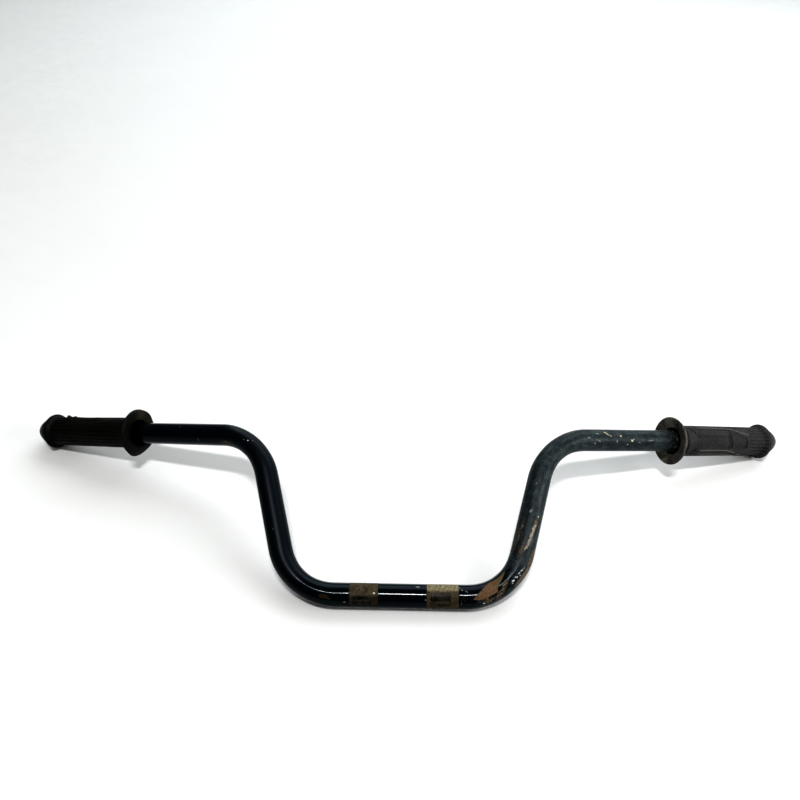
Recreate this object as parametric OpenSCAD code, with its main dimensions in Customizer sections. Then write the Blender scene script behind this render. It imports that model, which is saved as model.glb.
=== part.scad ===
// Motorcycle handlebar: one bent steel tube with a closed rubber grip on each end.
// Millimetres, +Z up. The bar lies on a flat surface on its clamp section and on both grip ends.
// The origin is the middle of the clamp section, on its axis, and +X runs along that section.

/* [Tube] */
// Outside diameter of the tube
tube_od = 22.2; // [20:0.1:23]
// Wall thickness of the tube
tube_wall = 2; // [1.5:0.1:3]

/* [Bends] */
// Length of the straight clamp section between the lower bends
clamp_len = 119; // [90:1:160]
// Centreline radius of the two lower bends
lower_bend_r = 56; // [45:1:80]
// Angle that each lower bend turns through, from the clamp section to the riser
riser_angle = 74.5; // [60:0.5:85]
// Straight length of each riser
riser_len = 75; // [40:1:140]
// Centreline radius of the two upper bends
upper_bend_r = 63; // [45:1:90]
// Angle by which each grip end sweeps back out of the plane of the risers
sweep_back = 18; // [10:0.5:25]
// Angle by which each grip end still rises in the plane of the risers
sweep_rise = 7.5; // [0:0.5:15]
// Angle of the plane of the risers above the surface that the bar lies on
lean = 25.8; // [20:0.1:32]

/* [Grips] */
// Bare straight of the tube between the upper bend and the grip
control_len = 103; // [80:1:130]
// Length of the grip, flange rim to dome tip
grip_len = 142.5; // [120:0.5:150]
// Diameter of the grip body beside the flange
grip_d = 33; // [30:0.5:36]
// Diameter of the grip body beside the end collar
waist_d = 31; // [29:0.5:34]
// Diameter of the flange
flange_d = 51; // [44:0.5:60]
// Diameter of the end collar
collar_d = 38; // [37:0.5:42]
// Diameter of the domed end
dome_d = 26; // [22:0.5:30]
// Number of grooves moulded along the grip body
grooves = 24; // [12:2:30]
// Depth of those grooves
groove_depth = 0.8; // [0.4:0.1:1.2]

/* [Hidden] */
$fn = 96;

tube_r = tube_od / 2;
bore_r = tube_r - tube_wall;
bend_thinning = 0.06;
bend_run_in = 0.6;

// The right half of the centreline, in the plane of the risers, with +Z out of that plane
along_clamp = [1, 0, 0];
along_riser = [cos(riser_angle), sin(riser_angle), 0];
along_grip = [cos(sweep_back) * cos(sweep_rise), cos(sweep_back) * sin(sweep_rise), -sin(sweep_back)];
upper_turn = acos(along_riser * along_grip);
lower_start = [clamp_len / 2, 0, 0];
lower_end = lower_start + lower_bend_r * tan(riser_angle / 2) * (along_clamp + along_riser);
upper_start = lower_end + riser_len * along_riser;
upper_end = upper_start + upper_bend_r * tan(upper_turn / 2) * (along_riser + along_grip);

// Grip, with its own axis along +Z and the flange rim at zero
rim_thick = 2.6;
flange_dish = 3;
hub_d = 36;
mouth_d = 27.6;
mouth_depth = 5;
neck_d = 30;
neck_end = 13;
collar_len = 4.5;
collar_z = grip_len - 24.5;
dome_z = grip_len - dome_d / 2;
socket_len = 126;
groove_w = 1.6;
groove_margin = 5;
groove_len = collar_z - collar_len - neck_end - 2 * groove_margin;
tube_end_len = control_len + socket_len;

function unit(v) = v / norm(v);

// The part of a direction that is square to another one
function square_to(v, axis) = unit(v - (v * axis) * axis);

// Puts the children's +Z along z_dir and their +X along x_dir, which is square to it
module align(at, x_dir, z_dir) {
    y_dir = cross(z_dir, x_dir);
    multmatrix([
        [x_dir.x, y_dir.x, z_dir.x, at.x],
        [x_dir.y, y_dir.y, z_dir.y, at.y],
        [x_dir.z, y_dir.z, z_dir.z, at.z],
        [0, 0, 0, 1]
    ])
        children();
}

// A straight length of tube that leaves a point along a direction
module straight_run(from, dir, len) {
    align(from, square_to([0, 0, 1], dir), dir)
        difference() {
            cylinder(h = len, r = tube_r);
            translate([0, 0, -1])
                cylinder(h = len + 2, r = bore_r);
        }
}

// An arc of tube that leaves a point along dir_in and turns towards dir_out.
// Its wall is thinned on both sides, and each end runs a little way into the straight it meets.
module bend_run(from, dir_in, dir_out, turn, bend_r) {
    inward = square_to(dir_out, dir_in);
    run_in = bend_run_in / bend_r * 180 / PI;
    align(from + bend_r * inward, -inward, unit(cross(-inward, dir_in)))
        rotate([0, 0, -run_in])
            rotate_extrude(angle = turn + 2 * run_in)
                translate([bend_r, 0])
                    difference() {
                        circle(r = tube_r - bend_thinning);
                        circle(r = bore_r + bend_thinning);
                    }
}

// Everything on one side of the clamp section
module half_tube() {
    bend_run(lower_start, along_clamp, along_riser, riser_angle, lower_bend_r);
    straight_run(lower_end, along_riser, riser_len);
    bend_run(upper_start, along_riser, along_grip, upper_turn, upper_bend_r);
    straight_run(upper_end, along_grip, tube_end_len);
}

module flange() {
    rotate_extrude()
        polygon([
            [flange_d / 2 - rim_thick / 2, 0],
            [mouth_d / 2, flange_dish],
            [mouth_d / 2, flange_dish + mouth_depth],
            [neck_d / 2, flange_dish + mouth_depth],
            [hub_d / 2, flange_dish + rim_thick + 0.6],
            [flange_d / 2 - rim_thick / 2, rim_thick]
        ]);
    translate([0, 0, rim_thick / 2])
        rotate_extrude()
            translate([flange_d / 2 - rim_thick / 2, 0])
                circle(d = rim_thick);
}

module grip_body() {
    translate([0, 0, flange_dish + mouth_depth])
        cylinder(h = neck_end - flange_dish - mouth_depth, d = neck_d);
    translate([0, 0, neck_end])
        cylinder(h = collar_z - neck_end, d1 = grip_d, d2 = waist_d);
}

// The groove bottoms follow the taper of the body
module grip_grooves() {
    taper = atan((grip_d - waist_d) / 2 / (collar_z - neck_end));
    for (i = [0 : grooves - 1])
        rotate([0, 0, i * 360 / grooves])
            translate([grip_d / 2 - groove_depth, 0, neck_end])
                rotate([0, -taper, 0])
                    translate([0, -groove_w / 2, groove_margin])
                        cube([2 * groove_depth, groove_w, groove_len]);
}

// Collar that stops the hand, then a cone and a dome that close the grip
module grip_end() {
    rim = collar_len / 2;
    translate([0, 0, collar_z - collar_len])
        cylinder(h = collar_len, d1 = waist_d, d2 = collar_d - 1);
    translate([0, 0, collar_z])
        cylinder(h = collar_len, d = collar_d - 2 * rim);
    translate([0, 0, collar_z + rim])
        rotate_extrude()
            translate([collar_d / 2 - rim, 0])
                circle(r = rim);
    translate([0, 0, collar_z + collar_len])
        cylinder(h = dome_z - collar_z - collar_len, d1 = collar_d - 2 * rim, d2 = dome_d);
    translate([0, 0, dome_z])
        sphere(d = dome_d);
}

module grip() {
    difference() {
        union() {
            flange();
            grip_body();
            grip_end();
        }
        grip_grooves();
        translate([0, 0, flange_dish])
            cylinder(h = socket_len - flange_dish, r = tube_r);
    }
}

module grip_in_place() {
    align(upper_end + control_len * along_grip, square_to([0, 0, 1], along_grip), along_grip)
        grip();
}

module bar_tube() {
    color([0.05, 0.06, 0.08])
        rotate([lean, 0, 0]) {
            straight_run(-lower_start, along_clamp, clamp_len);
            half_tube();
            mirror([1, 0, 0])
                half_tube();
        }
}

module grip_left() {
    color([0.12, 0.115, 0.11])
        rotate([lean, 0, 0])
            mirror([1, 0, 0])
                grip_in_place();
}

module grip_right() {
    color([0.17, 0.165, 0.165])
        rotate([lean, 0, 0])
            grip_in_place();
}

bar_tube();
grip_left();
grip_right();
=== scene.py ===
import math

import bpy
import numpy as np
from mathutils import Matrix, Vector, noise


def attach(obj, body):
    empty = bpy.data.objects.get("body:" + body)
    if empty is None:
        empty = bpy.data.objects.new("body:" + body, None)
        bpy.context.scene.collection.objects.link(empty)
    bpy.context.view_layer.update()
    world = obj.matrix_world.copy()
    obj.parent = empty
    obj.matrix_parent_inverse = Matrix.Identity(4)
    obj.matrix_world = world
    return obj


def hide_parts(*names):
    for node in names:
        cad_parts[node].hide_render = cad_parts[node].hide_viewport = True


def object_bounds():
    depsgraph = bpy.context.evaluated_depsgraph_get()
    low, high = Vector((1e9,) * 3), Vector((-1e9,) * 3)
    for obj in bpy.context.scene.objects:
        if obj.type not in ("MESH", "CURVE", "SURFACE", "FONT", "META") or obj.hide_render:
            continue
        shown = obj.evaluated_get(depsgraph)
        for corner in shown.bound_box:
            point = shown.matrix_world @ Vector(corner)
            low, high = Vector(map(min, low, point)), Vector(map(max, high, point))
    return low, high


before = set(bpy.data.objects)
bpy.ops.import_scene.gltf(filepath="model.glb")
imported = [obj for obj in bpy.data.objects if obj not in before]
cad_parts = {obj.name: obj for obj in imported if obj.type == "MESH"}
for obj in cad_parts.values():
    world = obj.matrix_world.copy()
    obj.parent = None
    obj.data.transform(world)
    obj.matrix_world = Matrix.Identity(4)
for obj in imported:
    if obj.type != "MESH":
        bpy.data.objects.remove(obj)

cad_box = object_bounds()

# ------------------------------------------------------------------ driving values
# Lengths are millimetres and angles are degrees until a mesh is made.
MM = 0.001
TUBE_R = 11.1
BORE_R = 9.1
CLAMP_LEN = 119.0
LOWER_R = 56.0
RISER_ANGLE = 74.5
RISER_LEN = 75.0
UPPER_R = 63.0
SWEEP_BACK = 18.0
SWEEP_RISE = 7.5
LEAN = 25.8
CONTROL_LEN = 103.0
SOCKET_LEN = 126.0
BEND_FLATTENING = 0.07
BEND_WIDENING = 0.02
BEND_EASE = 30.0

GRIP_LEN = 142.5
FLANGE_R = 25.5
RIM_THICK = 2.6
DISH = 3.0
HUB_R = 18.0
MOUTH_R = 13.8
MOUTH_DEPTH = 5.0
NECK_R = 15.0
NECK_END = 13.0
BODY_R = 16.5
WAIST_R = 15.5
COLLAR_R = 19.0
COLLAR_LEN = 4.5
END_LEN = 24.5
COLLAR_Z = GRIP_LEN - END_LEN
GROOVES = 24
GROOVE_DEPTH = 0.8

# Just clear of the tube, so that the two surfaces don't share a place
SOCKET_R = TUBE_R + 0.03

# Points round the tube and round a grip, and the last row of a grip's profile in its socket
AROUND = 96
GRIP_AROUND = 240
LAST_SOCKET_ROW = 24

PAINT_SPECULAR = 0.29
RUBBER_SPECULAR = 0.36
# Painted shade on the floors of the smooth panels, beside the rubber round them
PANEL_SHADE = 0.24

FLOOR_Z = cad_box[0][2]


def rad(angle):
    return math.radians(angle)


def smooth(x):
    x = np.clip(x, 0.0, 1.0)
    return x * x * (3.0 - 2.0 * x)


def unit(v):
    return v / np.linalg.norm(v, axis=-1, keepdims=True)


# ------------------------------------------------------------------ centreline
LEANED = np.array([
    [1.0, 0.0, 0.0],
    [0.0, math.cos(rad(LEAN)), -math.sin(rad(LEAN))],
    [0.0, math.sin(rad(LEAN)), math.cos(rad(LEAN))],
])
OUT_OF_PLANE = LEANED @ np.array([0.0, 0.0, 1.0])
ALONG_CLAMP = np.array([1.0, 0.0, 0.0])
ALONG_RISER = np.array([math.cos(rad(RISER_ANGLE)), math.sin(rad(RISER_ANGLE)), 0.0])
ALONG_GRIP = np.array([
    math.cos(rad(SWEEP_BACK)) * math.cos(rad(SWEEP_RISE)),
    math.cos(rad(SWEEP_BACK)) * math.sin(rad(SWEEP_RISE)),
    -math.sin(rad(SWEEP_BACK)),
])
UPPER_TURN = math.acos(ALONG_RISER @ ALONG_GRIP)
LOWER_ARC = LOWER_R * rad(RISER_ANGLE)
UPPER_ARC = UPPER_R * UPPER_TURN
CLAMP_END = CLAMP_LEN / 2
RISER_START = CLAMP_END + LOWER_ARC
RISER_END = RISER_START + RISER_LEN
CONTROL_START = RISER_END + UPPER_ARC
RIM_STATION = CONTROL_START + CONTROL_LEN
TUBE_END = RIM_STATION + SOCKET_LEN


def half_path(s):
    """Point, direction, direction to the bend's centre and how far into a bend.
    It takes stations from the middle to the right end."""
    point = np.zeros((len(s), 3))
    along = np.zeros((len(s), 3))
    inward = np.zeros((len(s), 3))
    bent = np.zeros(len(s))

    def straight(here, at, direction, start):
        point[here] = at + np.outer(s[here] - start, direction)
        along[here] = direction

    def bend(here, at, d_in, d_out, r, start, arc):
        towards = unit(d_out - (d_out @ d_in) * d_in)
        turn = (s[here] - start) / r
        centre = at + r * towards
        point[here] = centre - np.outer(np.cos(turn), towards) * r + np.outer(np.sin(turn), d_in) * r
        along[here] = np.outer(np.cos(turn), d_in) + np.outer(np.sin(turn), towards)
        inward[here] = (centre - point[here]) / r
        bent[here] = smooth((s[here] - start) / BEND_EASE) * smooth((start + arc - s[here]) / BEND_EASE)

    lower_start = np.array([CLAMP_END, 0.0, 0.0])
    lower_end = lower_start + LOWER_R * math.tan(rad(RISER_ANGLE) / 2) * (ALONG_CLAMP + ALONG_RISER)
    upper_start = lower_end + RISER_LEN * ALONG_RISER
    upper_end = upper_start + UPPER_R * math.tan(UPPER_TURN / 2) * (ALONG_RISER + ALONG_GRIP)
    straight(s <= CLAMP_END, np.zeros(3), ALONG_CLAMP, 0.0)
    in_lower = (s > CLAMP_END) & (s <= RISER_START)
    bend(in_lower, lower_start, ALONG_CLAMP, ALONG_RISER, LOWER_R, CLAMP_END, LOWER_ARC)
    straight((s > RISER_START) & (s <= RISER_END), lower_end, ALONG_RISER, RISER_START)
    in_upper = (s > RISER_END) & (s <= CONTROL_START)
    bend(in_upper, upper_start, ALONG_RISER, ALONG_GRIP, UPPER_R, RISER_END, UPPER_ARC)
    straight(s > CONTROL_START, upper_end, ALONG_GRIP, CONTROL_START)
    return point @ LEANED.T, along @ LEANED.T, inward @ LEANED.T, bent


def path(s):
    """The same for the whole bar: stations run from the left end, below zero, to the right end."""
    s = np.asarray(s, float)
    left = s < 0
    point, along, inward, bent = half_path(np.abs(s))
    point[left] *= [-1, 1, 1]
    along[left] *= [1, -1, -1]
    inward[left] *= [-1, 1, 1]
    return point, along, inward, bent


def cross_frame(along):
    """Two directions square to the path: out of the risers' plane, and towards the bar's front."""
    out = unit(OUT_OF_PLANE - (along @ OUT_OF_PLANE)[:, None] * along)
    return out, np.cross(along, out)


# ------------------------------------------------------------------ meshes
def loft(name, rings, start_pole=None, end_pole=None, closed=False):
    """A mesh through rings of points, with its ends closed to poles or joined to each other."""
    count, around, _ = rings.shape
    verts = rings.reshape(-1, 3)
    i = np.arange(count if closed else count - 1)[:, None]
    j = np.arange(around)[None, :]
    nxt = (i + 1) % count
    quads = np.stack([
        i * around + j,
        i * around + (j + 1) % around,
        nxt * around + (j + 1) % around,
        nxt * around + j,
    ], axis=-1).reshape(-1, 4)
    faces = quads.tolist()
    ends = []
    if start_pole is not None:
        pole = len(verts)
        ends.append(start_pole)
        faces += [[pole, (k + 1) % around, k] for k in range(around)]
    if end_pole is not None:
        pole = len(verts) + len(ends)
        ends.append(end_pole)
        base = (count - 1) * around
        faces += [[pole, base + k, base + (k + 1) % around] for k in range(around)]
    if ends:
        verts = np.vstack([verts, ends])
    mesh = bpy.data.meshes.new(name)
    mesh.from_pydata((verts * MM).tolist(), [], faces)
    mesh.validate()
    mesh.polygons.foreach_set("use_smooth", np.ones(len(mesh.polygons), bool))
    obj = bpy.data.objects.new(name, mesh)
    bpy.context.scene.collection.objects.link(obj)
    return obj


def store(obj, name, values):
    """Keeps one number or vector for each vertex, which the materials read."""
    values = np.asarray(values, np.float32)
    kind, key = ("FLOAT_VECTOR", "vector") if values.ndim == 2 else ("FLOAT", "value")
    obj.data.attributes.new(name, kind, "POINT").data.foreach_set(key, values.ravel())


def field(points, scale, seed):
    """Smooth noise from -1 to 1 at each point, the same in every run."""
    shift = Vector((seed * 17.3, seed * 5.1, seed * 9.7))
    return np.array([noise.noise(Vector(p) * scale + shift) for p in points])


# ------------------------------------------------------------------ the tube
def steps(a, b, pitch):
    return np.linspace(a, b, max(2, int(round((b - a) / pitch)) + 1))


def tube_stations(fine, coarse):
    shown = RIM_STATION + 8.0
    middle = steps(-shown, shown, fine)
    left = steps(-TUBE_END, -shown, coarse)[:-1]
    right = steps(shown, TUBE_END, coarse)[1:]
    return np.concatenate([left, middle, right])


def tube_rings(s, r, raised=None):
    point, along, inward, bent = path(s)
    out, front = cross_frame(along)
    across = np.cross(along, inward)
    angle = np.arange(AROUND) * 2 * math.pi / AROUND
    ray = np.cos(angle)[None, :, None] * out[:, None] + np.sin(angle)[None, :, None] * front[:, None]
    to_centre = np.einsum("sak,sk->sa", ray, inward)
    to_side = np.einsum("sak,sk->sa", ray, across)
    offset = ray * np.ones((len(s), 1, 1)) * (r if raised is None else r + raised[..., None])
    offset -= r * BEND_FLATTENING * (bent[:, None] * to_centre)[..., None] * inward[:, None]
    offset += r * BEND_WIDENING * (bent[:, None] * to_side)[..., None] * across[:, None]
    unbent = np.stack([
        np.broadcast_to(s[:, None], (len(s), AROUND)),
        np.broadcast_to(r * np.cos(angle)[None], (len(s), AROUND)),
        np.broadcast_to(r * np.sin(angle)[None], (len(s), AROUND)),
    ], axis=-1)
    return point[:, None] + offset, unbent


def spot(unbent, station, angle, half_len, half_arc, tilt=0.0):
    """Distance outside an oval mark on the unbent tube.
    tilt turns its length from the axis towards the front."""
    turn = np.arctan2(unbent[:, 2], unbent[:, 1]) - rad(angle)
    arc = TUBE_R * ((turn + math.pi) % (2 * math.pi) - math.pi)
    run = unbent[:, 0] - station
    u = run * math.cos(rad(tilt)) + arc * math.sin(rad(tilt))
    v = arc * math.cos(rad(tilt)) - run * math.sin(rad(tilt))
    return (np.hypot(u / half_len, v / half_arc) - 1.0) * min(half_len, half_arc)


def window(unbent, s0, s1, a0, a1):
    """Distance outside a rectangle on the unbent tube, between two stations and two angles."""
    turn = np.arctan2(unbent[:, 2], unbent[:, 1]) - rad((a0 + a1) / 2)
    arc = TUBE_R * ((turn + math.pi) % (2 * math.pi) - math.pi)
    du = np.abs(unbent[:, 0] - (s0 + s1) / 2) - (s1 - s0) / 2
    dv = np.abs(arc) - TUBE_R * rad(a1 - a0) / 2
    return np.maximum(du, dv)


def outline(unbent, *corners):
    """Distance outside a patch whose corners are (station, angle), below zero inside it."""
    at = np.stack([unbent[:, 0], TUBE_R * np.arctan2(unbent[:, 2], unbent[:, 1])], axis=1)
    ends = np.array([(s, TUBE_R * rad(a)) for s, a in corners])
    best = np.full(len(at), 1e9)
    inside = np.zeros(len(at), bool)
    for p, q in zip(ends, np.roll(ends, -1, axis=0)):
        edge = q - p
        t = np.clip(((at - p) @ edge) / (edge @ edge), 0, 1)
        best = np.minimum(best, np.linalg.norm(at - p - t[:, None] * edge, axis=1))
        crosses = (p[1] > at[:, 1]) != (q[1] > at[:, 1])
        reach = p[0] + (at[:, 1] - p[1]) * edge[0] / (edge[1] if edge[1] else 1e-9)
        inside ^= crosses & (at[:, 0] < reach)
    return np.where(inside, -best, best)


def nearest(unbent, marks, shape=spot):
    return np.min([shape(unbent, *m) for m in marks], axis=0)


# Marks in the finish, given as: station, angle, half length, half width, tilt.
# Most places were picked by eye on the photo, carried onto the tube by a scratch script through the
# fitted camera, rounded, and then partly moved by hand. Sizes and tilts were judged.
RUST_PATCH = [
    (65, 20), (71, -4), (78, -30), (85, -46), (92, -44), (98, -44), (107, -46), (101, -28),
    (96, -16), (91, -6), (89, 6), (88, 18), (84, 21), (78, 26), (71, 28),
]
RUST_SPOTS = [
    (-69, 20, 4.2, 2.0, -6), (-64.5, 26, 2.4, 1.1, 24), (90, -120, 14, 5, 10),
    (-96, -140, 9, 3, 0), (190, 150, 6, 3, 20), (-200, -150, 5, 3, 0),
]
RUST_FILM = [
    (88, 36, 5.0, 2.4, -30), (93, 24, 4.0, 2.0, -20), (80, 44, 5.0, 1.8, -20), (87, 54, 3.0, 1.4, 0),
    (74, 36, 4.0, 1.6, 0),
    (116, 60, 12, 3.8, 4), (129, 56, 9, 3.4, 8), (146, -46, 15, 1.2, 8), (160, 26, 9, 1.6, 10),
    (134, -14, 7, 1.2, 10), (-270, 62, 6, 1.2, 0), (96, 12, 5, 1.8, -25),
]
COPPER_SPOTS = [
    (137, 8, 4.5, 0.7, 20), (143, 14, 4.0, 1.0, 18), (149, 18, 3.0, 1.5, 10), (154, 22, 2.6, 1.4, 0),
    (158, 29, 1.5, 0.9, 0),
]
PALE_SPOTS = [
    (300.5, -24, 1.2, 0.7, 30), (302.5, -14, 1.9, 0.5, 40), (306, -3, 0.9, 0.4, 30),
    (318, -2, 1.0, 0.9, 0), (331, 22, 1.3, 0.9, 30), (333, 15, 0.7, 0.5, 0), (326, 44, 0.8, 0.4, 0),
    (104, 24, 1.3, 0.8, 20), (102.2, 31, 0.6, 0.5, 0), (107.4, 19, 0.7, 0.6, 0), (108.8, 27, 0.9, 0.5, -30),
    (112.2, 22, 1.0, 0.5, 10), (111.6, 33, 0.5, 0.5, 0), (115.6, 26, 1.2, 0.6, 25), (118.8, 30, 0.5, 0.4, 0),
    (168, 34, 0.7, 0.7, 0),
    (-245, -4, 0.8, 0.7, 0), (74, 50, 0.9, 0.5, 10), (-23.5, -3, 0.8, 0.8, 0),
]
GREY_SPOTS = [
    (340, 31, 1.2, 0.6, 0), (354, 21, 3.4, 0.7, 0), (313, 26, 0.9, 1.6, 0), (292, 24, 1.6, 0.8, 40),
    (287, 38, 0.9, 0.9, 0), (291, -16, 2.0, 0.9, 10), (280, 8, 1.4, 0.9, 0), (289, 18, 1.0, 0.6, 0),
    (262, -62, 9.0, 0.5, 2), (248, -74, 4.0, 0.45, 5), (284, -66, 8.0, 0.5, -2), (272, -50, 5.0, 0.4, 3),
    (-249, 6, 0.8, 0.6, 0), (-242, -22, 0.8, 0.5, 0),
    (56, -26, 0.9, 0.8, 0), (60, -18, 1.4, 0.5, 30), (54, -38, 0.9, 0.6, 0), (16, -40, 1.9, 1.1, 0),
    (155, -34, 1.0, 0.7, 0), (144, -40, 2.4, 0.3, 0), (171, -10, 1.8, 1.1, 20), (-306, 52, 0.5, 1.8, 0),
    (-50, 42, 1.1, 0.8, 0), (199, -14, 1.4, 0.5, 0), (-150, 10, 0.7, 0.5, 0), (-330, -20, 0.8, 0.4, 0),
    (23, 24, 0.8, 0.8, 0), (90, 40, 0.9, 0.5, 0), (95, 8, 1.6, 0.5, -30),
]
# The clamps' bands: a full window, the darker part in it, and the thin lines round that part
BANDS = [(-46, -20, -200, 60), (24, 53, -200, 76)]
DARK_PARTS = [(-43, -26, 12, 62), (28, 46, -8, 30), (28, 46, 40, 58)]
BAND_LINES = [
    (-38, 33, 5.0, 0.35, 0), (-31, 31, 3.0, 0.4, 0), (29.5, 10, 0.35, 4.5, 0), (47, 20, 0.4, 5.0, 0),
    (55.5, 32, 0.5, 4.6, 6), (58.4, 24, 0.4, 1.6, -24), (57, 9, 0.5, 1.2, 40),
]


def scuffing(unbent):
    """How worn the paint is, from 0 on the glossy left to 1 on the right riser and beyond."""
    s = unbent[:, 0]
    worn = 0.30 * smooth((s - 52) / 20) + 0.62 * smooth((s - 92) / 40)
    worn += 0.19 * smooth((-s - 235) / 20) * smooth((330 + s) / 20)
    worn -= 0.15 * smooth((s - 340) / 30)
    return worn


def dulling(unbent):
    """Where the paint of the left riser has lost its gloss but not its colour."""
    s = unbent[:, 0]
    return smooth((-s - 80) / 35) * (0.5 * smooth((275 + s) / 30) + 0.5 * smooth((350 + s) / 30))


def crusting(rings_unbent):
    """Height of the flaking rust and dirt where the tube enters the right grip."""
    flat = rings_unbent.reshape(-1, 3)
    near = smooth((flat[:, 0] - RIM_STATION + 12) / 5) * smooth((RIM_STATION + 6 - flat[:, 0]) / 4)
    rough = np.zeros(len(flat))
    here = near > 0
    rough[here] = 0.45 + 0.55 * field(flat[here], 0.32, 3) + 0.35 * field(flat[here], 0.9, 4)
    packed = 0.95 + 0.95 * smooth((flat[:, 0] - RIM_STATION + 0.5) / 2.5)
    return (np.clip(near * rough, 0, 1.15) * packed).reshape(rings_unbent.shape[:2])


def make_tube():
    s_out = tube_stations(1.0, 4.0)
    s_in = tube_stations(6.0, 8.0)[::-1]
    _, unbent = tube_rings(s_out, TUBE_R)
    crust = crusting(unbent)
    outer, unbent = tube_rings(s_out, TUBE_R, crust)
    inner, unbent_in = tube_rings(s_in, BORE_R)
    obj = loft("handlebar_tube", np.concatenate([outer, inner]), closed=True)
    lay = np.concatenate([unbent, unbent_in]).reshape(-1, 3)
    store(obj, "lay", lay)
    store(obj, "rust", np.minimum(outline(lay, *RUST_PATCH), nearest(lay, RUST_SPOTS)))
    store(obj, "film", nearest(lay, RUST_FILM))
    store(obj, "copper", nearest(lay, COPPER_SPOTS))
    store(obj, "pale", nearest(lay, PALE_SPOTS))
    store(obj, "grey", nearest(lay, GREY_SPOTS))
    store(obj, "band", nearest(lay, BANDS, window))
    store(obj, "gap", nearest(lay, DARK_PARTS, window))
    store(obj, "line", nearest(lay, BAND_LINES))
    angle = np.degrees(np.arctan2(lay[:, 2], lay[:, 1]))
    # the right band's upper side, painted brighter: partly its own lighter tan, partly painted highlight
    store(obj, "band_top_tan_and_highlight", smooth((lay[:, 0] - 15) / 10) * smooth((-12 - angle) / 16))
    # the bands' lower side, more on the left, which is darkened as painted shade
    store(obj, "low", smooth((angle - 2) / 16) * np.where(lay[:, 0] < 0, 0.75, 0.25))
    store(obj, "worn", scuffing(lay))
    store(obj, "dull", dulling(lay))
    store(obj, "crust", np.concatenate([crust.ravel(), np.zeros(len(unbent_in) * AROUND)]))
    return obj


# ------------------------------------------------------------------ the grips
def grip_profile():
    """(height from the rim, radius) all the way from the bottom of the socket to the tip of the dome."""
    rows = [(SOCKET_LEN, r) for r in (4.0, 8.0, SOCKET_R)]
    rows += [(z, SOCKET_R) for z in steps(DISH + MOUTH_DEPTH, SOCKET_LEN, 6.0)[::-1][1:]]
    rows += [(DISH + MOUTH_DEPTH, r) for r in (12.2, 13.2)]
    rows += [(z, MOUTH_R) for z in steps(DISH + 0.6, DISH + MOUTH_DEPTH - 0.3, 0.6)[::-1]]
    rows += [(DISH + 0.1, MOUTH_R + 0.15)]
    for t in steps(0, 1, 0.06)[1:]:
        rows.append((DISH * (1 - t ** 1.4), MOUTH_R + 0.5 + t * (FLANGE_R - RIM_THICK / 2 - MOUTH_R - 0.5)))
    for a in steps(-80, 80, 20):
        rows.append((
            RIM_THICK / 2 + RIM_THICK / 2 * math.sin(rad(a)),
            FLANGE_R - RIM_THICK / 2 + RIM_THICK / 2 * math.cos(rad(a)),
        ))
    back = DISH + RIM_THICK + 0.6
    rim_r = FLANGE_R - RIM_THICK / 2
    for t in steps(0, 1, 0.08)[1:]:
        rows.append((RIM_THICK + t * (back - RIM_THICK), rim_r - t * (rim_r - HUB_R)))
    for t in steps(0, 1, 0.2)[1:]:
        rows.append((back + t * (DISH + MOUTH_DEPTH - back), HUB_R - (HUB_R - NECK_R) * smooth(t ** 0.6)))
    rows += [(z, NECK_R) for z in steps(DISH + MOUTH_DEPTH + 0.6, NECK_END - 1.6, 0.6)]
    for t in steps(0, 1, 0.2):
        rows.append((NECK_END - 1.2 + 2.4 * t, NECK_R + (BODY_R - NECK_R - 0.05) * smooth(t)))
    start, end = NECK_END + 1.6, COLLAR_Z - COLLAR_LEN
    for z in steps(start, end, 0.5):
        rows.append((z, BODY_R + (WAIST_R - BODY_R) * (z - NECK_END) / (COLLAR_Z - NECK_END)))
    for t in steps(0, 1, 0.12)[1:]:
        flare = smooth(t) * t ** 0.3
        rows.append((end + t * (COLLAR_LEN + 0.6), WAIST_R + 0.05 + (COLLAR_R - 0.6 - WAIST_R) * flare))
    for a in steps(-50, 70, 15):
        rows.append((
            COLLAR_Z + COLLAR_LEN / 2 + COLLAR_LEN / 2 * math.sin(rad(a)),
            COLLAR_R - COLLAR_LEN / 2 + COLLAR_LEN / 2 * math.cos(rad(a)),
        ))
    top = COLLAR_Z + COLLAR_LEN
    for u in steps(0.03, 0.97, 0.035)[::-1]:
        rows.append((GRIP_LEN - (GRIP_LEN - top) * u * u, (COLLAR_R - 2.0) * u))
    return np.array(rows)


def bump_at(x, centre, half, soft):
    return smooth((half + soft - np.abs(x - centre)) / (2 * soft))


def wrap(angle):
    return (angle + 180.0) % 360.0 - 180.0


def edge_of(mask):
    """1 halfway up the slope of a mask, which is where a recess gets the painted shade of its edge."""
    return 4.0 * mask * (1.0 - mask)


def rib_wave(phi, count, sharp=0.30):
    """1 in a groove and 0 on a rib."""
    phase = (phi / 360.0 * count) % 1.0
    return smooth((sharp - np.abs(phase - 0.5)) / 0.16)


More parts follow.
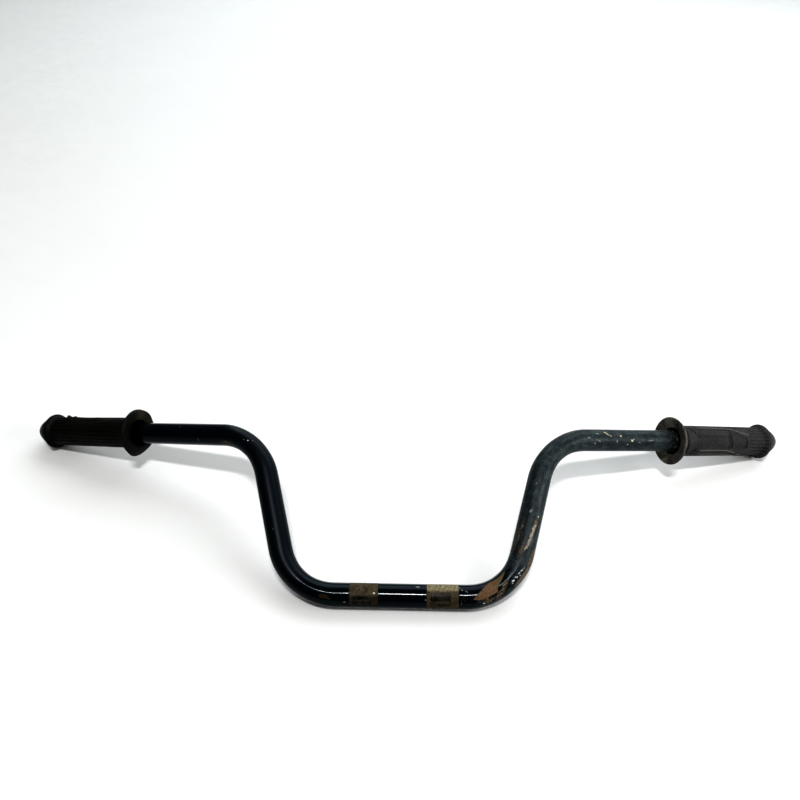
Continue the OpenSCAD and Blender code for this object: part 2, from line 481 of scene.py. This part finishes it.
def moulding(z, phi, wear):
    """Height of the moulded pattern over the body, and the painted shade in each groove, recess and seam.
    The smooth panels are centred on phi = 0 and the ribs cover the back. wear shallows the ribs."""
    height = np.zeros(np.broadcast(z, phi).shape)
    # dark is painted shade: it darkens the grooves, the recessed panels and their edges, the shoulder lines,
    # the bar and the seam
    dark = np.zeros(height.shape)
    body = smooth((z - NECK_END - 3) / 1.5) * smooth((COLLAR_Z + 1.0 - z) / 2.0)
    # ribs: along the whole back, and all round beside the collar
    wave = 6.0 * np.sin((z - 60.0) / 16.0) * np.exp(-((z - 78) / 22.0) ** 2)
    side = np.abs(phi + 4.0) - 38.0 - 14.0 * smooth((z - 66.0) / 26.0)
    back = smooth((side - wave * 0.6) / 5.0)
    end_zone = smooth((z - 93.0 - 0.05 * np.abs(phi)) / 2.0)
    ribbed = np.maximum(back, end_zone) * smooth((z - NECK_END - 5.0) / 3.0)
    ribs = body * ribbed * rib_wave(phi + 0.35 * wave * back, GROOVES) * wear * smooth((121.0 - z) / 2.5)
    height -= GROOVE_DEPTH * ribs
    dark += 0.45 * ribs
    # long panel with its bevelled upper side
    span = smooth((z - 21.0 - 0.10 * np.abs(phi)) / 1.2) * smooth((67.5 - z) / 1.2)
    panel = body * span * smooth((28.0 - np.abs(phi)) / 3.5)
    height -= 0.75 * panel
    dark += PANEL_SHADE * panel + 0.75 * edge_of(panel)
    bevel = smooth((phi + 66.0) / 30.0) * smooth((-26.0 - phi) / 6.0)
    height -= 0.45 * body * span * bevel
    # shoulder lines that run from the neck to the corners of the field
    for corner, turn in ((-36.0, 1.0), (26.0, -1.0)):
        track = smooth((6.0 - np.abs(phi - corner + turn * 4.5 * (23.0 - z))) / 4.0)
        line = body * track * smooth(24.0 - z) * smooth(z - 16.0)
        height -= 0.6 * line
        dark += 0.9 * line
    # bar between the panels
    bar = body * bump_at(z, 69.5, 1.3, 0.8) * smooth((40.0 - np.abs(phi + 14.0)) / 6.0)
    height -= 0.85 * bar
    dark += 0.9 * bar
    # leaf panel
    upper = -52.0 + 30.0 * smooth((z - 72.0) / 18.0)
    leaf = smooth((phi - upper) / 5.0) * smooth((26.0 - phi) / 5.0)
    tip = 91.5 - 0.0016 * (phi - 6.0) ** 2
    leaf = body * leaf * smooth((z - 73.5) / 1.5) * smooth((tip - z) / 1.5)
    height -= 0.75 * leaf
    dark += PANEL_SHADE * leaf + 0.70 * edge_of(leaf)
    # wavy ridges above and below the panels
    along = body * smooth((z - 26.0) / 5.0)
    ridge = 33.0 + 36.0 * smooth((z - 62.0) / 36.0)
    crest = along * smooth((4.6 - np.abs(phi - ridge)) / 4.0)
    height += 0.65 * crest
    # a painted shade line beside the ridge, with no hollow under it
    dark += 0.5 * along * smooth((3.0 - np.abs(phi - ridge - 9.0)) / 2.5)
    crest = along * smooth((3.6 - np.abs(phi - ridge - 19.0)) / 3.0) * smooth((104.0 - z) / 6.0)
    height += (0.45 - height) * crest
    dark *= 1.0 - crest
    ridge = -64.0 + 34.0 * smooth((z - 60.0) / 40.0)
    crest = along * smooth((4.2 - np.abs(phi - ridge)) / 3.4) * smooth((96.0 - z) / 4.0)
    height += (0.42 - height) * crest
    dark *= 1.0 - crest
    # seam between the collar and the dome
    seam = bump_at(z, 124.8, 1.4, 0.9)
    height -= 0.4 * seam
    dark += 0.8 * seam
    return height, np.clip(dark, 0, 1)


def make_grip(name, sign, panel_angle, worn_ribs, torn, bent_flange, dust_and_light_at):
    """One grip. torn holds crumbs and tears as (height, angle, length, arc, lift), bent_flange holds
    (angle, half width, shift), and dust_and_light_at is (angle, half width, share of dust elsewhere) for the
    flange face, which is lighter round that angle: partly dust, partly painted light."""
    profile = grip_profile()
    z, r = profile[:, 0], profile[:, 1]
    theta = np.arange(GRIP_AROUND) * 360.0 / GRIP_AROUND
    outside = (np.arange(len(z)) > np.argmax(r)) & (z > NECK_END)
    zz = np.broadcast_to(z[:, None], (len(z), GRIP_AROUND))
    tt = np.broadcast_to(theta[None], zz.shape)
    cosine, sine = np.cos(np.radians(tt)), np.sin(np.radians(tt))
    unbent = np.stack([zz, r[:, None] * cosine, r[:, None] * sine], axis=-1)
    flat = unbent.reshape(-1, 3)
    rubbed = np.clip(0.6 + 1.3 * field(flat * [0.35, 1, 1], 0.11, 5), 0, 1)
    wear = 1.0 - worn_ribs * rubbed.reshape(zz.shape)
    height, dark = moulding(zz, wrap(tt - panel_angle), wear)
    height, dark = height * outside[:, None], dark * outside[:, None]
    radius = r[:, None] + height
    # the moulding is never quite round, and the rubber has crept a little
    shown = (np.arange(len(z)) > LAST_SOCKET_ROW)[:, None]
    radius = radius + shown * 0.12 * field(flat, 0.045, 7).reshape(zz.shape)
    tears = np.zeros(zz.shape)
    for z0, t0, len_, arc_, lift in torn:
        near = np.exp(-((zz - z0) / len_) ** 2 - (wrap(tt - t0) / arc_) ** 2)
        tears += lift * near
    grain = field(flat, 0.9, 9).reshape(zz.shape)
    ragged = np.clip(np.abs(tears), 0, 1)
    rough_tears = np.where(tears > 0, tears, tears * (0.55 + 0.9 * np.maximum(grain, -0.4)))
    radius = radius + outside[:, None] * rough_tears
    # flange bent over towards the body on one side
    lean_over = np.zeros(zz.shape)
    flange = (z < DISH + RIM_THICK + 1.0)[:, None] & (r > NECK_R)[:, None]
    out_by = np.clip((radius - NECK_R) / (FLANGE_R - NECK_R), 0, 1) ** 1.5
    for t0, half, shift in bent_flange:
        lean_over += flange * out_by * shift * smooth((half - np.abs(wrap(tt - t0))) / half * 1.1)
    warp = flange * out_by * 0.35 * field(flat, 0.07, 11).reshape(zz.shape)
    height_z = zz + lean_over + warp
    point, along, _, _ = path(np.array([sign * RIM_STATION]))
    out, front = cross_frame(along)
    away = sign * along[0]
    ray = cosine[..., None] * out[0] + sine[..., None] * front[0]
    rings = point[0] + height_z[..., None] * away + radius[..., None] * ray
    if sign < 0:
        rings, keep = rings[:, ::-1], slice(None, None, -1)
    else:
        keep = slice(None)
    tip = point[0] + GRIP_LEN * away
    bottom = point[0] + SOCKET_LEN * away
    obj = loft(name, rings, start_pole=bottom, end_pole=tip)

    def ordered(grid, start, end):
        grid = grid[:, keep]
        flat_grid = grid.reshape(-1, *grid.shape[2:])
        return np.concatenate([flat_grid, [start], [end]])

    store(obj, "lay", ordered(unbent, [SOCKET_LEN, 0, 0], [GRIP_LEN, 0, 0]))
    store(obj, "relief", ordered(height, 0, 0))
    # the painted shade of the moulding
    store(obj, "dark", ordered(dark, 0, 0))
    store(obj, "torn", ordered(ragged, 0, 0))
    # the flange face is lighter round one angle: partly dust, partly painted light on its lit side
    face = (z < DISH + RIM_THICK + 1.0) & (r > MOUTH_R - 0.1)
    angle, half, elsewhere = dust_and_light_at
    spread = elsewhere + (1.0 - elsewhere) * smooth((half - np.abs(wrap(tt - angle))) / 40.0)
    store(obj, "face_dust_and_light", ordered(face[:, None] * spread, 0, 0))
    domed = np.where(outside, smooth((z - 125.5) / 1.5), 0.0)
    store(obj, "domed", ordered(np.broadcast_to(domed[:, None], zz.shape), 0, 1))
    return obj


# ------------------------------------------------------------------ materials
class Shader:
    """A short way to write a material's nodes."""

    def __init__(self, name):
        self.material = bpy.data.materials.new(name)
        self.material.use_nodes = True
        self.tree = self.material.node_tree
        self.surface = self.tree.nodes["Principled BSDF"]

    def node(self, kind, settings=None, **sockets):
        made = self.tree.nodes.new("ShaderNode" + kind)
        for key, value in (settings or {}).items():
            setattr(made, key, value)
        for key, value in sockets.items():
            self.put(made.inputs[int(key[1:]) if key[1:].isdigit() else key.replace("_", " ")], value)
        return made

    def put(self, socket, value):
        if isinstance(value, bpy.types.NodeSocket):
            self.tree.links.new(value, socket)
        else:
            socket.default_value = value

    def attribute(self, name, output="Fac"):
        return self.node("Attribute", {"attribute_name": name}).outputs[output]

    def scaled(self, vector, x, y, z):
        return self.node("Mapping", {"vector_type": "POINT"}, Vector=vector, Scale=(x, y, z)).outputs[0]

    def noise(self, vector, scale, detail=3.0, rough=0.55, warp=0.0):
        made = self.node("TexNoise", Vector=vector, Scale=scale, Detail=detail, Roughness=rough)
        self.put(made.inputs["Distortion"], warp)
        return made.outputs["Fac"]

    def cells(self, vector, scale, feature="F1"):
        return self.node("TexVoronoi", {"feature": feature}, Vector=vector, Scale=scale).outputs["Distance"]

    def math(self, kind, a, b=0.0, clamp=False):
        return self.node("Math", {"operation": kind, "use_clamp": clamp}, _0=a, _1=b).outputs[0]

    def weighted(self, a, share_a, b, share_b):
        """Two values added, each times its share."""
        return self.math("ADD", self.math("MULTIPLY", a, share_a), self.math("MULTIPLY", b, share_b))

    def step(self, value, low, high, to_low=0.0, to_high=1.0):
        made = self.node("MapRange", {"interpolation_type": "SMOOTHSTEP"}, Value=value)
        for key, limit in (("From Min", low), ("From Max", high), ("To Min", to_low), ("To Max", to_high)):
            self.put(made.inputs[key], limit)
        return made.outputs[0]

    def mask(self, distance, ragged, amount, soft=0.35):
        """1 inside a mark whose edge a noise has made ragged."""
        shift = self.math("MULTIPLY", self.math("SUBTRACT", ragged, 0.5), amount)
        return self.step(self.math("ADD", distance, shift), soft, -soft)

    def mix(self, factor, a, b):
        made = self.node("Mix", {"data_type": "RGBA"})
        for socket, v in ((made.inputs[0], factor), (made.inputs[6], a), (made.inputs[7], b)):
            self.put(socket, v)
        return made.outputs[2]

    def blend(self, factor, a, b):
        made = self.node("Mix", {"data_type": "FLOAT"})
        for socket, v in ((made.inputs[0], factor), (made.inputs[2], a), (made.inputs[3], b)):
            self.put(socket, v)
        return made.outputs[0]

    def ramp(self, value, *stops):
        made = self.node("ValToRGB", Fac=value)
        elements = made.color_ramp.elements
        while len(elements) < len(stops):
            elements.new(0.5)
        for element, (at, colour) in zip(elements, stops):
            element.position = at
            element.color = (*colour, 1.0)
        return made.outputs[0]

    def bump(self, height, distance, strength=1.0, normal=None):
        made = self.node("Bump", Height=height, Distance=distance, Strength=strength)
        if normal is not None:
            self.put(made.inputs["Normal"], normal)
        return made.outputs[0]


def rgb(r, g, b):
    return (r, g, b, 1.0)


def shaded(colour, factor):
    return rgb(*(c * factor for c in colour[:3]))


def paint_material():
    m = Shader("worn_black_paint")
    lay = m.attribute("lay", "Vector")
    worn = m.attribute("worn")
    broad = m.noise(lay, 0.035, 4.0)
    middling = m.noise(lay, 0.16, 6.0, 0.62)
    fine = m.noise(lay, 0.8, 5.0, 0.6)
    grit = m.noise(lay, 2.6, 3.0, 0.6)
    long_lines = m.noise(m.scaled(lay, 0.045, 1.5, 1.5), 1.0, 4.0, 0.6)
    cross_lines = m.noise(m.scaled(lay, 1.3, 0.12, 0.12), 1.0, 4.0, 0.6, 1.2)

    # glossy paint, then where it is rubbed matt and bluish grey
    dulled = m.attribute("dull")
    colour = m.mix(m.step(broad, 0.4, 0.6), rgb(0.0095, 0.0140, 0.0215), rgb(0.0085, 0.0168, 0.0190))
    colour = m.mix(dulled, colour, rgb(0.0120, 0.0170, 0.0225))
    streaks = m.noise(m.scaled(lay, 0.05, 0.36, 0.36), 1.0, 5.0, 0.6)
    patchy = m.weighted(middling, 0.45, streaks, 0.35)
    rubbed = m.step(m.math("ADD", patchy, m.math("MULTIPLY", worn, 0.60)), 0.52, 0.92)
    grey = m.ramp(
        m.weighted(fine, 0.32, patchy, 0.85),
        (0.36, (0.018, 0.025, 0.030)), (0.50, (0.042, 0.052, 0.056)), (0.64, (0.088, 0.104, 0.102)),
    )
    colour = m.mix(m.math("MULTIPLY", rubbed, 0.9), colour, grey)
    lines = m.math("MAXIMUM", m.step(long_lines, 0.60, 0.72), m.step(cross_lines, 0.64, 0.76))
    lines = m.math("MULTIPLY", lines, m.step(worn, 0.0, 0.8, 0.06, 0.7))
    colour = m.mix(lines, colour, rgb(0.13, 0.145, 0.14))
    dust = m.math("MULTIPLY", m.step(grit, 0.60, 0.78), m.step(worn, 0.0, 1.0, 0.05, 0.4))
    colour = m.mix(dust, colour, rgb(0.15, 0.15, 0.125))

    # the tan bands where the clamps sat, each with a darker part framed by thin lines
    band = m.mask(m.attribute("band"), m.weighted(fine, 0.6, grit, 0.4), 4.4, 0.5)
    band_top_tan_and_highlight = m.attribute("band_top_tan_and_highlight")
    speckle = m.weighted(fine, 0.55, grit, 0.45)
    dull = m.ramp(
        speckle,
        (0.36, (0.048, 0.040, 0.029)), (0.50, (0.096, 0.080, 0.056)), (0.66, (0.160, 0.146, 0.110)),
    )
    highlighted_tan = m.ramp(
        speckle,
        (0.36, (0.080, 0.066, 0.040)), (0.48, (0.175, 0.150, 0.095)), (0.62, (0.46, 0.41, 0.29)),
    )
    # painted highlight: the right band turns a brighter, yellower tan on its upper side, partly its own
    # lighter tan
    tan = m.mix(band_top_tan_and_highlight, dull, highlighted_tan)
    tan = m.mix(m.step(middling, 0.50, 0.72, 0.0, 0.6), tan, rgb(0.034, 0.029, 0.022))
    # painted shade: the bands darken towards their lower side
    band_lower_shade = m.ramp(fine, (0.35, (0.020, 0.017, 0.012)), (0.62, (0.060, 0.052, 0.038)))
    tan = m.mix(m.attribute("low"), tan, band_lower_shade)
    colour = m.mix(m.math("MULTIPLY", band, 0.95), colour, tan)
    gap = m.mask(m.attribute("gap"), middling, 3.0, 1.1)
    in_gap = m.ramp(middling, (0.35, (0.008, 0.010, 0.010)), (0.60, (0.045, 0.042, 0.034)))
    colour = m.mix(m.math("MULTIPLY", gap, 0.93), colour, in_gap)
    thin = m.mask(m.attribute("line"), grit, 0.7, 0.35)
    colour = m.mix(m.math("MULTIPLY", thin, 0.85), colour, dull)

    # rust, bare copper-coloured steel, and chips
    film = m.math("MULTIPLY", m.mask(m.attribute("film"), middling, 5.0, 1.2), m.step(fine, 0.38, 0.56))
    brown = m.ramp(
        fine,
        (0.30, (0.060, 0.044, 0.034)), (0.50, (0.150, 0.110, 0.078)), (0.70, (0.250, 0.20, 0.15)),
    )
    colour = m.mix(m.math("MULTIPLY", film, 0.85), colour, brown)
    rust = m.mask(m.attribute("rust"), fine, 2.4, 0.5)
    station = m.node("SeparateXYZ", Vector=lay).outputs["X"]
    olive = m.ramp(speckle, (0.36, (0.080, 0.066, 0.042)), (0.62, (0.165, 0.140, 0.092)))
    rusty = m.ramp(
        speckle,
        (0.36, (0.086, 0.058, 0.041)), (0.50, (0.150, 0.104, 0.070)), (0.66, (0.23, 0.175, 0.125)),
    )
    rusty = m.mix(m.step(m.math("ADD", station, m.math("MULTIPLY", fine, 10.0)), 91.0, 101.0), rusty, olive)
    rusty = m.mix(m.step(station, -20.0, 20.0, 0.78, 0.0), rusty, rgb(0.030, 0.018, 0.013))
    colour = m.mix(rust, colour, rusty)
    copper = m.math("MULTIPLY", m.mask(m.attribute("copper"), fine, 4.5, 0.5), m.step(grit, 0.36, 0.50))
    bare_steel = m.mix(m.step(grit, 0.35, 0.65), rgb(0.15, 0.105, 0.075), rgb(0.52, 0.45, 0.37))
    colour = m.mix(copper, colour, bare_steel)
    grey_chip = m.mask(m.attribute("grey"), grit, 1.3, 0.4)
    colour = m.mix(m.math("MULTIPLY", grey_chip, 0.75), colour, rgb(0.25, 0.26, 0.235))
    pale = m.mask(m.attribute("pale"), grit, 2.2, 0.25)
    chip = m.mix(m.step(station, 180.0, 220.0), rgb(0.72, 0.73, 0.70), rgb(0.70, 0.64, 0.42))
    colour = m.mix(pale, colour, chip)

    # flaking crust beside the right grip
    crust = m.step(m.attribute("crust"), 0.12, 0.45)
    scales = m.cells(lay, 0.42)
    scale_colour = m.ramp(
        m.math("ADD", scales, m.math("MULTIPLY", m.math("SUBTRACT", fine, 0.5), 0.7)),
        (0.20, (0.022, 0.028, 0.036)), (0.50, (0.048, 0.050, 0.053)), (0.74, (0.105, 0.098, 0.086)),
    )
    colour = m.mix(m.math("MULTIPLY", crust, 0.85), colour, scale_colour)
    m.put(m.surface.inputs["Base Color"], colour)

    matt_band = m.math("MULTIPLY", band, m.math("SUBTRACT", 1.0, m.math("MULTIPLY", gap, 0.45)))
    bare = m.math("MAXIMUM", m.math("MAXIMUM", rust, matt_band), m.math("MAXIMUM", crust, grey_chip))
    bare = m.math("MAXIMUM", bare, film)
    rough = m.blend(rubbed, m.step(fine, 0.3, 0.8, 0.11, 0.17), m.step(fine, 0.3, 0.8, 0.41, 0.60))
    rough = m.blend(m.math("MULTIPLY", dulled, 0.9), rough, 0.45)
    rough = m.blend(bare, rough, m.step(grit, 0.2, 0.8, 0.55, 0.85))
    rough = m.blend(copper, rough, 0.42)
    m.put(m.surface.inputs["Roughness"], rough)

    # edges of the paint film, rust texture, scratches and a faint orange peel
    broken = m.math("MAXIMUM", m.math("MAXIMUM", rust, pale), m.math("MAXIMUM", matt_band, grey_chip))
    relief = m.math("MULTIPLY", broken, m.math("SUBTRACT", m.math("MULTIPLY", grit, 0.9), 1.0))
    relief = m.math("SUBTRACT", relief, m.math("MULTIPLY", lines, 0.25))
    relief = m.math("ADD", relief, m.math("MULTIPLY", middling, m.blend(rubbed, 0.06, 0.45)))
    relief = m.math("ADD", relief, m.math("MULTIPLY", m.math("MULTIPLY", fine, rubbed), 0.25))
    m.put(m.surface.inputs["Normal"], m.bump(relief, 0.00018))
    m.put(m.surface.inputs["Specular IOR Level"], PAINT_SPECULAR)
    return m.material


def rubber_material(name, dark, light, edge, groove, dust, dome, gloss):
    """Old rubber. dark to light is its own colour, edge is its worn ridges and the painted highlight on its
    crests, groove the painted shade in its hollows, dust what lies on it, dome the end's bluish tint, which
    is a painted reflection, and gloss the roughness of its smoothest places."""
    m = Shader(name)
    lay = m.attribute("lay", "Vector")
    relief = m.attribute("relief")
    face_dust_and_light = m.attribute("face_dust_and_light")
    domed = m.attribute("domed")
    torn = m.attribute("torn")
    groove_shade = m.attribute("dark")
    broad = m.noise(lay, 0.05, 4.0)
    middling = m.noise(lay, 0.25, 5.0, 0.6)
    fine = m.noise(lay, 1.3, 4.0, 0.6)
    grain = m.noise(lay, 4.5, 2.0, 0.5)
    drawn = m.noise(m.scaled(lay, 0.12, 1.2, 1.2), 1.0, 4.0, 0.6)

    colour = m.mix(m.step(middling, 0.3, 0.7), dark, light)
    colour = m.mix(m.step(drawn, 0.45, 0.75, 0.0, 0.5), colour, light)
    colour = m.mix(m.step(fine, 0.50, 0.72, 0.0, 0.55), colour, edge)
    # raised crests take the edge colour: partly worn rubber, partly painted highlight
    colour = m.mix(m.step(relief, 0.05, 0.40, 0.0, 0.85), colour, edge)
    # painted shade in the grooves, recesses and seams
    colour = m.mix(m.math("MULTIPLY", groove_shade, 0.85), colour, groove)
    # dust on the flange face, lighter round one side: partly dust, partly painted light
    spread = m.math("MULTIPLY", m.step(m.math("ADD", broad, m.math("MULTIPLY", fine, 0.5)), 0.45, 1.0), 0.8)
    dust_and_light_cover = m.math("MULTIPLY", spread, m.step(face_dust_and_light, 0.0, 1.0, 0.12, 1.0))
    mottled = m.mix(m.step(fine, 0.36, 0.64), shaded(dust, 0.5), shaded(dust, 1.3))
    colour = m.mix(dust_and_light_cover, colour, mottled)
    colour = m.mix(m.math("MULTIPLY", torn, m.step(fine, 0.45, 0.75, 0.0, 0.6)), colour, dust)
    # the dome's bluish tint is a painted reflection of the surroundings
    colour = m.mix(m.math("MULTIPLY", domed, 0.8), colour, m.mix(middling, dome, light))
    m.put(m.surface.inputs["Base Color"], colour)
    rough = m.step(middling, 0.25, 0.75, gloss, gloss + 0.18)
    rough = m.blend(dust_and_light_cover, rough, 0.85)
    rough = m.blend(m.math("MULTIPLY", domed, 0.7), rough, 0.46)
    m.put(m.surface.inputs["Specular IOR Level"], RUBBER_SPECULAR)
    m.put(m.surface.inputs["Roughness"], rough)
    height = m.weighted(fine, 0.6, grain, 0.35)
    height = m.math("ADD", height, m.math("MULTIPLY", drawn, 0.5))
    m.put(m.surface.inputs["Normal"], m.bump(height, 0.00022, 0.9))
    return m.material


def floor_material():
    m = Shader("pale_floor")
    at = m.node("TexCoord").outputs["Object"]
    cloud = m.noise(at, 2.2, 5.0)
    m.put(m.surface.inputs["Base Color"], m.mix(cloud, rgb(0.80, 0.80, 0.80), rgb(0.86, 0.86, 0.855)))
    m.put(m.surface.inputs["Roughness"], m.step(m.noise(at, 40.0, 3.0), 0.3, 0.7, 0.55, 0.75))
    return m.material


# ------------------------------------------------------------------ the pieces
tube = make_tube()
tube.data.materials.append(paint_material())
grip_right = make_grip(
    "grip_moulding_right", sign=1, panel_angle=28.0, worn_ribs=0.55,
    torn=[(63, -50, 2.2, 7, -0.7)],
    bent_flange=[(0, 60, 0.8)], dust_and_light_at=(-130, 130, 0.55),
)
grip_left = make_grip(
    "grip_moulding_left", sign=-1, panel_angle=205.0, worn_ribs=0.9,
    torn=[
        (100, -56, 1.2, 9, 3.6), (104, -50, 2.2, 7, 1.0), (97, -60, 1.4, 6, 0.9),
        (107, -58, 5.0, 5, -0.5), (95, -54, 5.0, 4, -0.5), (91, -56, 1.2, 8, 2.3),
        (87, -58, 1.3, 6, 0.7), (110, -52, 1.4, 6, 0.7), (68, -52, 6.0, 4, -0.4),
        (60, -54, 1.6, 7, 0.7), (78, -42, 9.0, 3, -0.4),
        (112, -32, 4.0, 4, -0.4), (50, 10, 10.0, 3, -0.35), (84, 24, 9.0, 3, -0.35),
    ],
    bent_flange=[(0, 1000, 4.5), (132, 62, 5.0), (-96, 26, -1.6)], dust_and_light_at=(-112, 85, 0.02),
)
grip_right.data.materials.append(rubber_material(
    "grip_rubber_right",
    dark=rgb(0.0225, 0.0215, 0.0250), light=rgb(0.0410, 0.0395, 0.0435),
    edge=rgb(0.110, 0.113, 0.104), groove=rgb(0.0085, 0.0080, 0.0090),
    dust=rgb(0.270, 0.262, 0.228), dome=rgb(0.032, 0.043, 0.047), gloss=0.50,
))
# The left grip is the same rubber as the right; its colours are painted darker as painted shade for the left
# side's dimmer light.
grip_left.data.materials.append(rubber_material(
    "grip_rubber_left",
    dark=rgb(0.0070, 0.0074, 0.0074), light=rgb(0.0150, 0.0155, 0.0150),
    edge=rgb(0.042, 0.044, 0.042), groove=rgb(0.003, 0.003, 0.003),
    dust=rgb(0.078, 0.068, 0.052), dome=rgb(0.008, 0.011, 0.011), gloss=0.45,
))
for piece, cad_node, slot in (
    (tube, "bar_tube", "bar_paint"),
    (grip_left, "grip_left", "grip_rubber"),
    (grip_right, "grip_right", "grip_rubber"),
):
    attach(piece, "root")
    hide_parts(cad_node)

# ------------------------------------------------------------------ floor, light and camera
FLOOR_HALF = 6.0
floor_mesh = bpy.data.meshes.new("floor")
floor_mesh.from_pydata(
    [(x * FLOOR_HALF, y * FLOOR_HALF, FLOOR_Z) for x, y in ((-1, -1), (1, -1), (1, 1), (-1, 1))],
    [], [(0, 1, 2, 3)],
)
floor = bpy.data.objects.new("floor", floor_mesh)
floor_mesh.materials.append(floor_material())
bpy.context.scene.collection.objects.link(floor)


def area_light(name, at, look_at, size, power, colour=(1.0, 1.0, 1.0)):
    light = bpy.data.lights.new(name, "AREA")
    light.shape = "RECTANGLE"
    light.size, light.size_y = size
    light.energy = power
    light.color = colour
    obj = bpy.data.objects.new(name, light)
    obj.location = at
    obj.rotation_euler = (Vector(look_at) - Vector(at)).to_track_quat("-Z", "Y").to_euler()
    bpy.context.scene.collection.objects.link(obj)
    return obj


area_light("ceiling_lamp", at=(0.0, -0.70, 2.4), look_at=(0, 0.05, 0), size=(0.54, 0.13), power=26.0)
area_light(
    "back_light", at=(0.8, 2.45, 2.05), look_at=(0, 0.1, 0), size=(5.0, 2.7), power=66.0,
    colour=(0.92, 0.97, 1.0),
)
area_light("side_light", at=(1.05, -0.20, 0.55), look_at=(0.33, 0.18, 0.02), size=(0.7, 0.5), power=4.6)

world = bpy.data.worlds.new("studio")
world.use_nodes = True
background = world.node_tree.nodes["Background"]
background.inputs["Color"].default_value = rgb(1.0, 0.99, 0.95)
background.inputs["Strength"].default_value = 0.28
bpy.context.scene.world = world

# the photograph's contrast: its floor is white and its dark tones are held down
WHITE_AT = 0.74
DARK_TONES = ((0.03, 0.0025), (0.06, 0.014), (0.10, 0.045), (0.20, 0.17), (0.45, 0.48))
view = bpy.context.scene.view_settings
view.view_transform = "Standard"
view.use_curve_mapping = True
tones = view.curve_mapping.curves[3]
tones.points[1].location = (WHITE_AT, 1.0)
for dark_in, dark_out in DARK_TONES:
    tones.points.new(dark_in, dark_out)
view.curve_mapping.update()

# The camera's place and direction came from fitting a pinhole camera to the tube's outline in the
# photo, and its focal length, 700 pixels of an 800-pixel picture, was chosen
CAMERA_AT = (0.008973, -0.370241, 0.552372)
CAMERA_FORWARD = (-0.018117, 0.760070, -0.649589)
CAMERA_DOWN = (0.013735, -0.649988, -0.759820)
SENSOR_WIDTH = 36.0
LENS = 31.5

forward = Vector(CAMERA_FORWARD).normalized()
down = Vector(CAMERA_DOWN)
right = down.cross(forward).normalized()
down = forward.cross(right)
camera_data = bpy.data.cameras.new("camera")
camera_data.sensor_width = SENSOR_WIDTH
camera_data.lens = LENS
camera_data.clip_start = 0.02
camera = bpy.data.objects.new("camera", camera_data)
turn = Matrix((right, -down, -forward)).transposed()
camera.matrix_world = Matrix.Translation(CAMERA_AT) @ turn.to_4x4()
bpy.context.scene.collection.objects.link(camera)
bpy.context.scene.camera = camera
